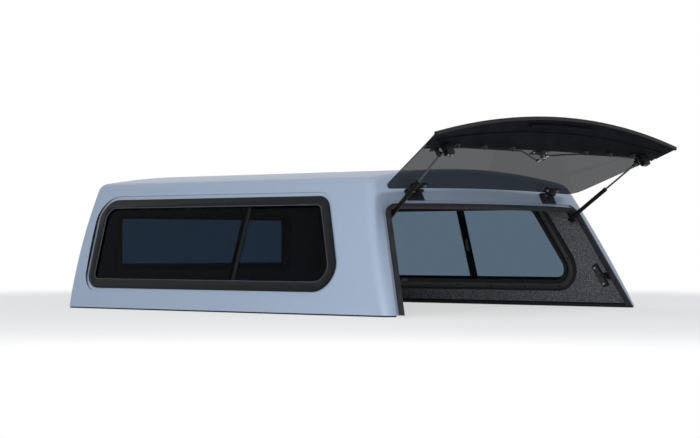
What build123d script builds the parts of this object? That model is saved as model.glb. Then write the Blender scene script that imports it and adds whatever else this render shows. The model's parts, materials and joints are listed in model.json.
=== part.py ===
from build123d import *
import os
from math import atan2, cos, hypot, radians, sin, sqrt

os.makedirs("parts", exist_ok=True)

# Frame: X to the vehicle's right, Y towards the cab, Z up. The origin is the middle of the
# seat face of the front base seal. The rear door is modelled open, as it stands in use.

# Overall shell
front_y = 30.0              # front face, ahead of the middle of the front seal
shell_length = 1862.0       # front face to the foot of the rear face
base_half = 846.0           # half width at the foot of the side walls
shoulder_half = 663.0       # half width where wall and roof would meet
shoulder_z = 539.0
wall_bulge = 19.5           # crown of the side wall arc over its chord
roof_z = 590.0              # crown of the roof
shoulder_radius = 60.0
wall = 6.0                  # laminate thickness
front_edge_radius = 22.0
rear_edge_radius = 45.0
rear_lean = 25.4            # rear face from upright, in degrees
rear_bow_radius = 15000.0   # the rear face is bowed in plan
flange_width = 70.0         # base flange, inwards from the foot of the wall
sharp_below = 135.0         # edges whose middle is lower stay sharp
stock = 2600.0              # reach of tools that cut right through
reach = 60.0                # reach of tools that cut through one wall

# Seals and linings
seal_thickness = 6.0
seal_width = 42.0
seal_inset = 9.0
lining_thickness = 3.0
lining_rear = 40.0          # linings end short of the rear face
seat_gap = 0.3              # between curved faces that lie on each other
bulb_height = 12.0          # above the rear face
bulb_width = 15.0
bulb_lip = 3.0              # part of the bulb that overhangs the opening

# Rear opening
opening_top = 472.0         # up the rear face
opening_top_half = 632.0
opening_foot_half = 776.0
opening_radius = 45.0
opening_overrun = 60.0
ledge_width = 30.0          # stepped ledge around the opening that the seal stands on
ledge_depth = 5.0

# Side windows, measured back from the front face and up the wall
window_foot = 92.0
window_head = 468.0
window_front_foot = 105.0
window_front_head = 74.0
window_rear_foot = 1567.0
window_rear_head = 1392.0
window_radii = (70.0, 95.0, 70.0, 90.0)
window_recess = 4.0         # depth of the flat panel below the wall arc at its ends
recess_margin = 18.0
frame_border = 37.0         # black border around the visible glass
frame_thickness = 8.0
frame_lap = 14.0            # border that lies on the panel around the hole
frame_spigot = 16.0
spigot_wall = 3.0
pane_thickness = 4.0
pane_lap = 9.0              # glass hidden behind the border
pane_gap = 0.3
track_lap = 3.0             # inner track that holds the sliding pane, short of the border
divider_at = 958.0          # middle of the meeting bar, behind the front face
divider_width = 40.0
divider_thickness = 3.0
trim_width = 26.0
trim_thickness = 4.0

# Front window
front_window_half = 560.0
front_window_foot = 150.0
front_window_head = 430.0
front_window_radius = 50.0

# Rear door, measured down the door from the hinge axis
hinge_height = 541.0        # hinge axis, up the rear face
hinge_standoff = 7.0        # hinge axis, out from the rear face
door_open_angle = 91.0
glass_standoff = 22.0       # closed glass, out from the rear face
glass_thickness = 5.0
glass_top = 1.0             # glass above the hinge axis
glass_length = 365.0        # hinge axis to the lower glass edge
door_top_half = 640.0
door_foot_half = 785.0      # at the lower glass edge
door_corner_radius = 80.0
skirt_lap = 20.0            # flange of the skirt behind the glass
skirt_lap_thickness = 5.0
skirt_thickness = 8.0
skirt_foot_z = 76.0         # foot of the closed skirt above the base
skirt_foot_standoff = 7.5
skirt_foot_bow = 90.0
skirt_foot_half = 822.0
skirt_rim_depth = 6.0       # thickened rim along the foot
skirt_rim_height = 12.0

# Door hinges
hinge_at = 450.0
hinge_width = 100.0
hinge_leaf_thickness = 5.0
hinge_leaf_drop = 40.0
hinge_knuckle_radius = 5.5
hinge_pin_radius = 3.0
hinge_split = 34.0          # width of the middle knuckle
hinge_door_start = 11.0     # door leaf, down from the axis
hinge_arm_drop = 16.5       # arm of the middle knuckle, down from the axis
joint_gap = 0.5
pin_gap = 0.1

# Gas struts
strut_base_at = 605.0
strut_base_height = 443.0   # up the rear face
strut_base_depth = 35.0     # in from the rear face
strut_top_at = 665.0
strut_top_drop = 330.0      # down the door from the hinge axis
strut_top_depth = 20.0      # in from the hinge axis
strut_tube_radius = 9.0
strut_tube_bore = 7.6
strut_tube_length = 214.0
strut_tube_start = 10.0
strut_guide = 12.0
strut_rod_radius = 4.0
strut_piston_radius = 7.3
strut_piston_length = 14.0
strut_piston_at = 182.0
strut_eye_radius = 8.5
strut_eye_width = 7.0
stud_radius = 4.0
stud_gap = 0.6              # between a stud and the eye that leaves it as the strut swings
stud_flare = 2.0            # head of a stud, over its radius
bracket_thickness = 4.0
base_foot_height = 523.0    # middle of the base bracket's foot, up the rear face
base_foot_drop = 28.0
base_foot_width = 38.0
base_ear_at = 624.0
base_ear_foot = 430.0
base_ear_depth = 50.0
top_ear_at = 678.0
top_ear_width = 18.0
top_ear_depth = 28.0        # in from the hinge axis
top_foot_width = 34.0
top_foot_drop = 24.0

# Latch
handle_drop = 325.0         # handle shaft, down the door from the hinge axis
shaft_radius = 6.0
shaft_bore = 8.0            # hole in the glass
cam_arm = 22.0
cam_lead = 15.0             # cam at rest, before its middle position, in degrees
cam_thickness = 3.0
cam_depth = 16.0            # outer face of the cam, in from the hinge axis
cam_width = 15.0
cam_pin_radius = 3.0
cam_pin_length = 8.0
base_plate_length = 110.0
base_plate_width = 36.0
base_plate_thickness = 3.0
lock_radius = 7.0
lock_length = 9.0
lock_stand = 1.0            # lock face over the handle
handle_length = 90.0
handle_width = 20.0
handle_thickness = 12.0
handle_standoff = 10.0      # handle over the glass
handle_neck_radius = 9.0
rod_radius = 3.0
rod_eye_radius = 7.5
rod_eye_half = 3.5          # half thickness of a rod's eye
rod_slack = 1.4             # play of a rod's eye on its cam pin
rod_depth = 12.0            # rods, in from the hinge axis
rod_line = 372.0            # rods and jaws, down the door
rod_bend_at = 200.0
rod_entry = 18.0            # rod inside its latch
rod_spare = 1.0             # hole beyond the end of the rod
latch_inset = 53.4407       # middle of a latch, inside the edge of the opening
latch_width = 38.0
latch_height = 28.0
latch_depth = 46.0          # in from the hinge axis
latch_jaw = 14.0
latch_jaw_depth = 18.0
striker_radius = 4.0
striker_depth = 34.0        # pin, in from the hinge axis
striker_arm_offset = 25.0   # arm, outside the middle of its latch
striker_pin_length = 40.0
striker_foot_length = 56.0
striker_height = 30.0
striker_reach = 37.0        # back of the arm, in from the rear face

# Section of the shell: two wall arcs and a roof arc
wall_lean = atan2(base_half - shoulder_half, shoulder_z - seal_thickness)
wall_chord = hypot(base_half - shoulder_half, shoulder_z - seal_thickness)
wall_radius = (wall_chord**2 / 4 + wall_bulge**2) / (2 * wall_bulge)
wall_centre_x = (wall_radius - wall_bulge) * cos(wall_lean) - (base_half + shoulder_half) / 2
wall_centre_z = (shoulder_z + seal_thickness) / 2 - (wall_radius - wall_bulge) * sin(wall_lean)
roof_crown = roof_z - shoulder_z
roof_radius = (shoulder_half**2 + roof_crown**2) / (2 * roof_crown)

rear_foot_y = front_y - shell_length
lean = radians(rear_lean)
X = Vector(1, 0, 0)

rear_plane = Plane(origin=(0, rear_foot_y, 0), x_dir=X, z_dir=(0, -cos(lean), sin(lean)))
hinge_point = rear_plane.from_local_coords(Vector(0, hinge_height, hinge_standoff))
door_plane = Plane(origin=hinge_point, x_dir=X,
                   z_dir=rear_plane.z_dir.rotate(Axis.X, -door_open_angle))


def opened(y, z):
    """A place on the closed door, swung to where it stands open."""
    return hinge_point + (Vector(0, y, z) - hinge_point).rotate(Axis.X, -door_open_angle)


def across(plane, height):
    """The plane square to a plane's height: its y is the first plane's outward side."""
    return Plane(origin=plane.from_local_coords(Vector(0, height, 0)), x_dir=plane.x_dir,
                 z_dir=plane.y_dir * -1)


def bow(half):
    """How far the bowed rear has fallen back at a half width."""
    return rear_bow_radius - sqrt(rear_bow_radius**2 - half**2)


def bowed_strip(half, inner, outer):
    """A curved strip between two distances from a plane, in the current sketch."""
    with BuildLine() as outline:
        back = ThreePointArc((-half, inner - bow(half)), (0, inner), (half, inner - bow(half)))
        face = ThreePointArc((half, outer - bow(half)), (0, outer), (-half, outer - bow(half)))
        Line(back @ 1, face @ 0)
        Line(face @ 1, back @ 0)
    make_face(outline.edges())


def behind(plane, distance):
    """Everything on the inner side of a bowed surface at a distance from a plane."""
    with BuildPart() as zone:
        with BuildSketch(across(plane, stock)):
            bowed_strip(stock / 2, -stock, distance)
        extrude(amount=2 * stock)
    return zone.part


def canopy_form(inset):
    """The outer form of the canopy, or a form that lies inside it by an inset."""
    with BuildPart() as form:
        with BuildSketch(Plane.XZ.offset(inset - front_y)) as section:
            with Locations((0, roof_z - roof_radius)):
                Circle(roof_radius - inset)
            for side in (-1, 1):
                with Locations((side * wall_centre_x, wall_centre_z)):
                    Circle(wall_radius - inset, mode=Mode.INTERSECT)
            with Locations((0, seal_thickness + inset)):
                Rectangle(stock, stock, align=(Align.CENTER, Align.MIN), mode=Mode.INTERSECT)
            fillet(section.vertices().group_by(Axis.Y)[-1], shoulder_radius - inset)
        extrude(amount=stock)
        add(behind(rear_plane, -inset), mode=Mode.INTERSECT)
        rear_edges = form.faces().sort_by(Axis.Y)[0].edges()
        fillet(rear_edges.filter_by(lambda e: e.center().Z > sharp_below),
               rear_edge_radius - inset)
        front_edges = form.faces().sort_by(Axis.Y)[-1].edges()
        fillet(front_edges.filter_by(lambda e: e.center().Z > sharp_below),
               front_edge_radius - inset)
    return form.part


def bar(start, end, radius):
    """A round bar between two points."""
    with BuildPart() as piece:
        with BuildSketch(Plane(origin=start, z_dir=end - start)):
            Circle(radius)
        extrude(amount=(end - start).length)
    return piece.part


def slab(plane, left, right, foot, head, low, high):
    """A rectangular block on a plane."""
    with BuildPart() as block:
        with BuildSketch(plane.offset(low)):
            with Locations(((left + right) / 2, (foot + head) / 2)):
                Rectangle(right - left, head - foot)
        extrude(amount=high - low)
    return block.part


def finish(piece, name):
    """Label a finished piece and write it."""
    piece.part.label = name
    export_step(piece.part, f"parts/{name}.step")


def both_sides(piece, name):
    """Write a left-hand piece and its mirrored twin."""
    finish(piece, f"{name}_left")
    with BuildPart() as twin:
        mirror(piece.part, about=Plane.YZ)
    finish(twin, f"{name}_right")


def wall_half(z):
    """Half width of the outer side wall at a height."""
    return sqrt(wall_radius**2 - (z - wall_centre_z)**2) - wall_centre_x


# The flat panel of a side window leans in with the wall
window_lean = atan2(wall_half(window_foot) - wall_half(window_head), window_head - window_foot)
panel_half = wall_half(window_foot) + window_foot * sin(window_lean) / cos(window_lean)
side_plane = Plane(origin=(-panel_half, front_y, 0), x_dir=(0, -1, 0),
                   z_dir=(-cos(window_lean), 0, sin(window_lean))).offset(-window_recess)
front_plane = Plane(origin=(0, front_y, 0), x_dir=(-1, 0, 0), z_dir=(0, 1, 0))


def window_outline(grow):
    """Outline of a side window in the current sketch, larger by a margin."""
    foot = window_foot / cos(window_lean)
    head = window_head / cos(window_lean)
    with BuildLine() as outline:
        FilletPolyline((window_front_foot, foot), (window_rear_foot, foot),
                       (window_rear_head, head), (window_front_head, head),
                       radius=window_radii, close=True)
    make_face(outline.edges())
    if grow:
        offset(amount=grow)


def front_window_outline(grow):
    """Outline of the front window in the current sketch, larger by a margin."""
    middle = (front_window_foot + front_window_head) / 2
    with Locations((0, middle)):
        RectangleRounded(2 * (front_window_half + grow),
                         front_window_head - front_window_foot + 2 * grow,
                         front_window_radius + grow)


def prism(plane, outline, grow, low, high):
    """An outline's prism between two distances from its plane."""
    with BuildPart() as block:
        with BuildSketch(plane.offset(low)):
            outline(grow)
        extrude(amount=high - low)
    return block.part


def ring(plane, outline, outside, inside, low, high):
    """A prism with a like outline cut out of it."""
    with BuildPart() as band:
        with BuildSketch(plane.offset(low)):
            outline(outside)
        extrude(amount=high - low)
        with BuildSketch(plane.offset(low)):
            outline(inside)
        extrude(amount=high - low, mode=Mode.SUBTRACT)
    return band.part


def opening_half(height):
    """Half width of the rear opening at a height up the rear face."""
    return opening_foot_half - height * (opening_foot_half - opening_top_half) / opening_top


def opening_outline(grow):
    """Outline of the rear opening, which runs out through the foot of the rear face."""
    low_half = opening_half(-opening_overrun) + grow
    top_half = opening_half(opening_top + grow) + grow
    radius = opening_radius + grow
    with BuildLine() as outline:
        FilletPolyline((-low_half, -opening_overrun), (low_half, -opening_overrun),
                       (top_half, opening_top + grow), (-top_half, opening_top + grow),
                       radius=(0, 0, radius, radius), close=True)
    make_face(outline.edges())


# Shell: roof, walls, rear frame and base flanges in one moulding
outer_form = canopy_form(0)
cavity = canopy_form(wall)
window_block = prism(side_plane, window_outline, recess_margin + wall, -wall, reach)
window_recess_cut = prism(side_plane, window_outline, recess_margin, 0, reach)
hole_grow = -frame_lap
window_hole_cut = prism(side_plane, window_outline, hole_grow, -2 * wall, wall)
front_hole_cut = prism(front_plane, front_window_outline, hole_grow, -2 * wall, wall)
opening_cut = prism(rear_plane, opening_outline, 0, -reach, reach)

with BuildPart() as window_panel:
    add(window_block)
    add(outer_form, mode=Mode.INTERSECT)

ledge_back = -ledge_depth - wall
with BuildPart() as ledge_panel:
    add(prism(rear_plane, opening_outline, ledge_width + wall, -reach, reach))
    add(behind(rear_plane, -ledge_depth), mode=Mode.INTERSECT)
    add(behind(rear_plane, ledge_back), mode=Mode.SUBTRACT)
    add(outer_form, mode=Mode.INTERSECT)

with BuildPart() as ledge_cut:
    add(prism(rear_plane, opening_outline, ledge_width, -reach, reach))
    add(behind(rear_plane, -ledge_depth), mode=Mode.SUBTRACT)

with BuildPart() as shell:
    add(outer_form)
    add(slab(Plane.XY, flange_width - base_half, base_half - flange_width, -stock,
             front_y - flange_width, 0, seal_thickness + 2 * wall), mode=Mode.SUBTRACT)
    add(cavity, mode=Mode.SUBTRACT)
    add(window_panel.part)
    mirror(window_panel.part, about=Plane.YZ)
    add(ledge_panel.part)
    for cut in (window_recess_cut, window_hole_cut):
        add(cut, mode=Mode.SUBTRACT)
        mirror(cut, about=Plane.YZ, mode=Mode.SUBTRACT)
    add(front_hole_cut, mode=Mode.SUBTRACT)
    add(ledge_cut.part, mode=Mode.SUBTRACT)
    add(opening_cut, mode=Mode.SUBTRACT)
finish(shell, "shell")

# Carpet linings lie on the inside of the moulding, clear of the window panels
lining_foot = seal_thickness + 2 * wall
roof_lining_foot = shoulder_z - shoulder_radius
lining_skin = canopy_form(wall + seat_gap) - canopy_form(wall + seat_gap + lining_thickness)
panel_clearance = prism(side_plane, window_outline, recess_margin + wall + seat_gap,
                        -reach, reach)
front_lining_cut = prism(front_plane, front_window_outline, hole_grow, -reach, reach)
front_lining_y = front_y - front_edge_radius - wall

with BuildPart() as side_lining:
    add(lining_skin)
    add(behind(rear_plane, -lining_rear), mode=Mode.INTERSECT)
    add(slab(Plane.XY, -stock / 2, 0, -stock, front_lining_y, lining_foot, roof_lining_foot),
        mode=Mode.INTERSECT)
    add(panel_clearance, mode=Mode.SUBTRACT)
both_sides(side_lining, "side_lining")

with BuildPart() as roof_lining:
    add(lining_skin)
    add(behind(rear_plane, -lining_rear), mode=Mode.INTERSECT)
    add(slab(Plane.XY, -stock / 2, stock / 2, -stock, front_lining_y,
             roof_lining_foot + seat_gap, stock), mode=Mode.INTERSECT)
    add(panel_clearance, mode=Mode.SUBTRACT)
    mirror(panel_clearance, about=Plane.YZ, mode=Mode.SUBTRACT)
finish(roof_lining, "roof_lining")

with BuildPart() as front_lining:
    add(lining_skin)
    add(slab(Plane.XY, -stock / 2, stock / 2, front_lining_y + seat_gap, stock,
             lining_foot, shoulder_z - wall), mode=Mode.INTERSECT)
    add(front_lining_cut, mode=Mode.SUBTRACT)
finish(front_lining, "front_lining")

# Base seal: butted foam strips under the flanges
seal_outer = base_half - seal_inset
side_seal_front = front_y - seal_inset - seal_width - seat_gap
side_seal_length = side_seal_front - rear_foot_y - seal_inset
with BuildPart() as base_seal:
    with BuildSketch(Plane.XY):
        with Locations((-seal_outer, side_seal_front)):
            Rectangle(seal_width, side_seal_length, align=(Align.MIN, Align.MAX))
    extrude(amount=seal_thickness)
both_sides(base_seal, "base_seal")

with BuildPart() as base_seal_front:
    with BuildSketch(Plane.XY):
        with Locations((0, front_y - seal_inset)):
            Rectangle(2 * seal_outer, seal_width, align=(Align.CENTER, Align.MAX))
    extrude(amount=seal_thickness)
finish(base_seal_front, "base_seal_front")

# Bulb seal that grips the lip of the rear opening and stands on its ledge
with BuildPart() as opening_lip:
    add(ring(rear_plane, opening_outline, ledge_width, 0, -reach, reach))
    add(behind(rear_plane, -ledge_depth), mode=Mode.INTERSECT)

with BuildPart() as opening_seal:
    add(ring(rear_plane, opening_outline, bulb_width - bulb_lip, -bulb_lip, -reach, reach))
    add(behind(rear_plane, bulb_height), mode=Mode.INTERSECT)
    add(behind(rear_plane, ledge_back), mode=Mode.SUBTRACT)
    add(opening_lip.part, mode=Mode.SUBTRACT)
    add(slab(Plane.XY, -stock, stock, -stock, stock, seal_thickness, stock), mode=Mode.INTERSECT)
finish(opening_seal, "opening_seal")

# Side windows: a black frame, a fixed front pane, a sliding rear pane and their meeting bar
spigot_grow = -frame_lap - seat_gap
spigot_inner = spigot_grow - spigot_wall
fixed_low = -pane_thickness
sliding_low = fixed_low - divider_thickness - pane_gap - pane_thickness
with BuildPart() as window_frame:
    add(ring(side_plane, window_outline, 0, -frame_border, 0, frame_thickness))
    add(ring(side_plane, window_outline, spigot_grow, spigot_inner, -frame_spigot, 0))
    add(ring(side_plane, window_outline, spigot_inner + spigot_wall / 2, track_lap - frame_border,
             -frame_spigot, sliding_low - pane_gap))
both_sides(window_frame, "window_frame")


def pane(front, rear, low):
    """A flat pane between two distances behind the front face."""
    with BuildPart() as sheet:
        add(prism(side_plane, window_outline, pane_lap - frame_border, low, low + pane_thickness))
        with BuildSketch(side_plane.offset(low)):
            with Locations(((front + rear) / 2, window_head)):
                Rectangle(rear - front, stock)
        extrude(amount=pane_thickness, mode=Mode.INTERSECT)
    return sheet


both_sides(pane(0, divider_at, fixed_low), "fixed_pane")
both_sides(pane(divider_at - divider_width / 2, stock, sliding_low), "sliding_pane")

with BuildPart() as window_divider:
    add(prism(side_plane, window_outline, pane_lap - frame_border,
              fixed_low - divider_thickness, fixed_low))
    with BuildSketch(side_plane.offset(fixed_low - divider_thickness)):
        with Locations((divider_at, window_head)):
            Rectangle(divider_width, stock)
    extrude(amount=divider_thickness, mode=Mode.INTERSECT)
both_sides(window_divider, "window_divider")

with BuildPart() as trim_ring:
    add(ring(side_plane, window_outline, spigot_grow + trim_width, spigot_grow + seat_gap,
             -wall - trim_thickness, -wall))
both_sides(trim_ring, "trim_ring")

# Front window on the cab side: one fixed pane in a like frame
with BuildPart() as front_window_frame:
    add(ring(front_plane, front_window_outline, 0, -frame_border, 0, frame_thickness))
    add(ring(front_plane, front_window_outline, spigot_grow, spigot_inner, -frame_spigot, 0))
finish(front_window_frame, "front_window_frame")

with BuildPart() as front_window_glass:
    add(prism(front_plane, front_window_outline, pane_lap - frame_border, fixed_low, 0))
finish(front_window_glass, "front_window_glass")

with BuildPart() as front_trim_ring:
    trim_face = -wall - seat_gap - lining_thickness
    add(ring(front_plane, front_window_outline, spigot_grow + trim_width, spigot_grow + seat_gap,
             trim_face - trim_thickness, trim_face))
finish(front_trim_ring, "front_trim_ring")

# Rear door
glass_face = glass_standoff - hinge_standoff
door_slope = (door_foot_half - door_top_half) / (glass_top + glass_length)


def door_half(drop):
    """Half width of the door at a distance below the hinge axis."""
    return door_top_half + (glass_top + drop) * door_slope


with BuildPart() as door_glass:
    with BuildSketch(across(door_plane, glass_top)):
        bowed_strip(door_foot_half, glass_face, glass_face + glass_thickness)
    extrude(amount=glass_top + glass_length)
    with BuildSketch(door_plane.offset(-reach)):
        with BuildLine():
            FilletPolyline((-door_half(glass_length), -glass_length),
                           (door_half(glass_length), -glass_length),
                           (door_top_half, glass_top), (-door_top_half, glass_top),
                           radius=(0, 0, door_corner_radius, door_corner_radius), close=True)
        make_face()
        with Locations((0, -handle_drop)):
            Circle(shaft_bore, mode=Mode.SUBTRACT)
    extrude(amount=2 * reach, mode=Mode.INTERSECT)
finish(door_glass, "door_glass")

# Skirt: a moulded rail that laps behind the glass and flares out over the tailgate
skirt_foot_y = rear_plane.from_local_coords(
    Vector(0, skirt_foot_z / cos(lean), skirt_foot_standoff)).Y
foot_plane = Plane(origin=opened(skirt_foot_y, skirt_foot_z), x_dir=X,
                   z_dir=Vector(0, 0, -1).rotate(Axis.X, -door_open_angle))
skirt_back = glass_face - skirt_lap_thickness
skirt_top_half = door_half(glass_length)
rim_thickness = skirt_thickness + skirt_rim_depth
with BuildPart() as door_skirt:
    with BuildSketch(across(door_plane, -glass_length + skirt_lap)):
        bowed_strip(door_half(glass_length - skirt_lap), skirt_back, glass_face - seat_gap)
    extrude(amount=skirt_lap + seat_gap)
    with BuildSketch(across(door_plane, -glass_length - seat_gap)):
        bowed_strip(skirt_top_half, skirt_back, glass_face + glass_thickness)
    with BuildSketch(foot_plane):
        with BuildLine():
            foot_face = ThreePointArc((-skirt_foot_half, 0), (0, skirt_foot_bow), (skirt_foot_half, 0))
            foot_back = ThreePointArc((skirt_foot_half, -skirt_thickness),
                                      (0, skirt_foot_bow - skirt_thickness),
                                      (-skirt_foot_half, -skirt_thickness))
            Line(foot_face @ 1, foot_back @ 0)
            Line(foot_back @ 1, foot_face @ 0)
        make_face()
    loft(ruled=True)
    with BuildSketch(foot_plane):
        with BuildLine():
            rim_back = ThreePointArc((skirt_foot_half, -rim_thickness),
                                     (0, skirt_foot_bow - rim_thickness),
                                     (-skirt_foot_half, -rim_thickness))
            add(foot_face)
            Line(foot_face @ 1, rim_back @ 0)
            Line(rim_back @ 1, foot_face @ 0)
        make_face()
    extrude(amount=-skirt_rim_height)
finish(door_skirt, "door_skirt")

# Door hinges: a leaf screwed to the header and a leaf bonded to the glass, on one pin
hinge_left = -hinge_at - hinge_width / 2
hinge_right = -hinge_at + hinge_width / 2
split_left = -hinge_at - hinge_split / 2
split_right = -hinge_at + hinge_split / 2


def on_axis(x):
    """A point on the hinge axis."""
    return Vector(x, hinge_point.Y, hinge_point.Z)


header_skin = behind(rear_plane, seat_gap)
with BuildPart() as hinge_body_leaf:
    add(slab(rear_plane, hinge_left, hinge_right, hinge_height - hinge_leaf_drop,
             hinge_height - hinge_knuckle_radius, -reach, reach))
    add(behind(rear_plane, seat_gap + hinge_leaf_thickness), mode=Mode.INTERSECT)
    for near, far in ((hinge_left, split_left - joint_gap), (split_right + joint_gap, hinge_right)):
        add(slab(rear_plane, near, far, hinge_height - hinge_knuckle_radius,
                 hinge_height + hinge_knuckle_radius, -reach, hinge_standoff))
        add(bar(on_axis(near), on_axis(far), hinge_knuckle_radius))
    add(header_skin, mode=Mode.SUBTRACT)
    add(bar(on_axis(hinge_left), on_axis(hinge_right), hinge_pin_radius))
both_sides(hinge_body_leaf, "hinge_body_leaf")

glass_seat = behind(door_plane, glass_face - seat_gap)
with BuildPart() as hinge_door_leaf:
    add(slab(door_plane, hinge_left, hinge_right, -hinge_leaf_drop, -hinge_door_start,
             -reach, reach))
    add(behind(door_plane, glass_face - seat_gap - bracket_thickness), mode=Mode.SUBTRACT)
    add(slab(door_plane, split_left, split_right, -hinge_arm_drop, 0,
             -hinge_knuckle_radius, reach))
    add(glass_seat, mode=Mode.INTERSECT)
    add(bar(on_axis(split_left), on_axis(split_right), hinge_knuckle_radius))
    add(bar(on_axis(hinge_left), on_axis(hinge_right), hinge_pin_radius + pin_gap),
        mode=Mode.SUBTRACT)
both_sides(hinge_door_leaf, "hinge_door_leaf")

# Gas struts: both ends turn about lines across the vehicle
strut_base = rear_plane.from_local_coords(
    Vector(-strut_base_at, strut_base_height, -strut_base_depth))
strut_top = door_plane.from_local_coords(Vector(-strut_top_at, -strut_top_drop, -strut_top_depth))
strut_way = (strut_top - strut_base).normalized()
strut_length = (strut_top - strut_base).length
half_eye = strut_eye_width / 2


def along(distance):
    """A point on the left strut's centre line."""
    return strut_base + strut_way * distance


def eye(centre, radius):
    """An eye whose hole runs across the vehicle."""
    return bar(centre - X * half_eye, centre + X * half_eye, radius)


with BuildPart() as strut_tube:
    add(bar(along(strut_tube_start), along(strut_tube_length), strut_tube_radius))
    add(bar(along(2 * strut_tube_start), along(strut_tube_length - strut_guide), strut_tube_bore),
        mode=Mode.SUBTRACT)
    add(bar(along(strut_tube_length / 2), along(strut_length), strut_rod_radius + pin_gap),
        mode=Mode.SUBTRACT)
    add(bar(along(stud_radius + stud_flare), along(strut_tube_start), strut_rod_radius))
    add(eye(strut_base, strut_eye_radius))
    add(eye(strut_base, stud_radius + pin_gap), mode=Mode.SUBTRACT)
both_sides(strut_tube, "strut_tube")

with BuildPart() as strut_rod:
    add(bar(along(strut_piston_at), along(strut_length), strut_rod_radius))
    add(bar(along(strut_piston_at), along(strut_piston_at + strut_piston_length),
            strut_piston_radius))
    add(eye(strut_top, strut_eye_radius))
both_sides(strut_rod, "strut_rod")

with BuildPart() as ledge_room:
    add(prism(rear_plane, opening_outline, ledge_width + wall + seat_gap, -reach, reach))
    add(behind(rear_plane, ledge_back - seat_gap), mode=Mode.SUBTRACT)

with BuildPart() as strut_base_bracket:
    add(slab(rear_plane, -base_ear_at - bracket_thickness, base_foot_width - base_ear_at,
             base_foot_height - base_foot_drop / 2, base_foot_height + base_foot_drop / 2,
             -reach, reach))
    add(behind(rear_plane, -wall - seat_gap - bracket_thickness), mode=Mode.SUBTRACT)
    add(slab(rear_plane, -base_ear_at - bracket_thickness, -base_ear_at, base_ear_foot,
             base_foot_height + base_foot_drop / 2, -base_ear_depth, reach))
    add(behind(rear_plane, -wall - seat_gap), mode=Mode.INTERSECT)
    add(ledge_room.part, mode=Mode.SUBTRACT)
    add(bar(strut_base - X * (base_ear_at - strut_base_at), strut_base + X * 2 * half_eye,
            stud_radius))
    add(bar(strut_base + X * (half_eye + joint_gap), strut_base + X * 2 * half_eye,
            stud_radius + stud_flare))
both_sides(strut_base_bracket, "strut_base_bracket")

with BuildPart() as strut_top_bracket:
    add(slab(door_plane, -top_ear_at - top_foot_width, -top_ear_at,
             -strut_top_drop - top_foot_drop / 2, -strut_top_drop + top_foot_drop / 2,
             -reach, reach))
    add(behind(door_plane, glass_face - seat_gap - bracket_thickness), mode=Mode.SUBTRACT)
    add(slab(door_plane, -top_ear_at - bracket_thickness, -top_ear_at,
             -strut_top_drop - top_ear_width / 2, -strut_top_drop + top_ear_width / 2,
             -top_ear_depth, reach))
    add(glass_seat, mode=Mode.INTERSECT)
    add(bar(strut_top - X * (top_ear_at - strut_top_at),
            strut_top - X * (half_eye + stud_gap), stud_radius))
both_sides(strut_top_bracket, "strut_top_bracket")

# Latch: one handle turns a cam that draws both rods out of their side latches
glass_out = glass_face + glass_thickness
handle_face = glass_out + handle_standoff
handle_top = handle_face + handle_thickness
cam_turn = radians(cam_lead)
pin_x = -cam_arm * sin(cam_turn)
pin_y = cam_arm * cos(cam_turn)


def on_door(x, drop, out):
    """A point on the door: across, down from the hinge axis, and outwards."""
    return door_plane.from_local_coords(Vector(x, -drop, out))


def door_pin(x, drop, low, high, radius):
    """A round bar square to the door."""
    return bar(on_door(x, drop, low), on_door(x, drop, high), radius)


with BuildPart() as latch_base_plate:
    add(slab(door_plane, -base_plate_length / 2, base_plate_length / 2,
             -handle_drop - base_plate_width / 2, -handle_drop + base_plate_width / 2,
             glass_face - seat_gap - base_plate_thickness, glass_face - seat_gap))
    add(door_pin(0, handle_drop, 0, glass_out, shaft_radius + pin_gap), mode=Mode.SUBTRACT)
finish(latch_base_plate, "latch_base_plate")

with BuildPart() as door_handle:
    with BuildSketch(door_plane.offset(handle_face)):
        with Locations((0, -handle_drop)):
            SlotOverall(handle_length, handle_width)
    extrude(amount=handle_thickness)
    add(door_pin(0, handle_drop, glass_out + joint_gap, handle_face, handle_neck_radius))
    add(door_pin(0, handle_drop, -cam_depth - 2 * cam_thickness, glass_out + joint_gap,
                 shaft_radius))
    add(door_pin(0, handle_drop, handle_top - lock_length, handle_top, lock_radius + pin_gap),
        mode=Mode.SUBTRACT)
finish(door_handle, "door_handle")

with BuildPart() as lock_cylinder:
    add(door_pin(0, handle_drop, handle_top - lock_length + pin_gap, handle_top + lock_stand,
                 lock_radius))
finish(lock_cylinder, "lock_cylinder")

with BuildPart() as latch_cam:
    with BuildSketch(door_plane.offset(-cam_depth - cam_thickness)):
        with Locations((0, -handle_drop)):
            SlotCenterToCenter(2 * cam_arm, cam_width, rotation=90 + cam_lead)
    extrude(amount=cam_thickness)
    add(door_pin(0, handle_drop, -cam_depth - cam_thickness, -cam_depth,
                 shaft_radius + pin_gap), mode=Mode.SUBTRACT)
    for side in (-1, 1):
        add(door_pin(-side * pin_x, handle_drop + side * pin_y, -cam_depth,
                     cam_pin_length - cam_depth, cam_pin_radius))
finish(latch_cam, "latch_cam")


striker_line = hinge_height - rod_line
latch_at = opening_half(striker_line) - latch_inset


def latch_rod(side, drop):
    """A rod from a cam pin out to the latch on one side, with one bend on the way."""
    pin_at = side * -pin_x
    rod_end = side * (latch_at - latch_width / 2 + rod_entry)
    start = on_door(pin_at + side * cam_pin_radius * 2, drop, -rod_depth)
    bend = on_door(side * rod_bend_at, rod_line, -rod_depth)
    with BuildPart() as rod:
        add(bar(start, bend, rod_radius))
        with Locations(bend):
            Sphere(rod_radius)
        add(bar(bend, on_door(rod_end, rod_line, -rod_depth), rod_radius))
        add(door_pin(pin_at, drop, -rod_depth - rod_eye_half, rod_eye_half - rod_depth,
                     rod_eye_radius))
        add(door_pin(pin_at, drop, -rod_depth - rod_eye_half, rod_eye_half - rod_depth,
                     cam_pin_radius + rod_slack), mode=Mode.SUBTRACT)
    return rod


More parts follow.
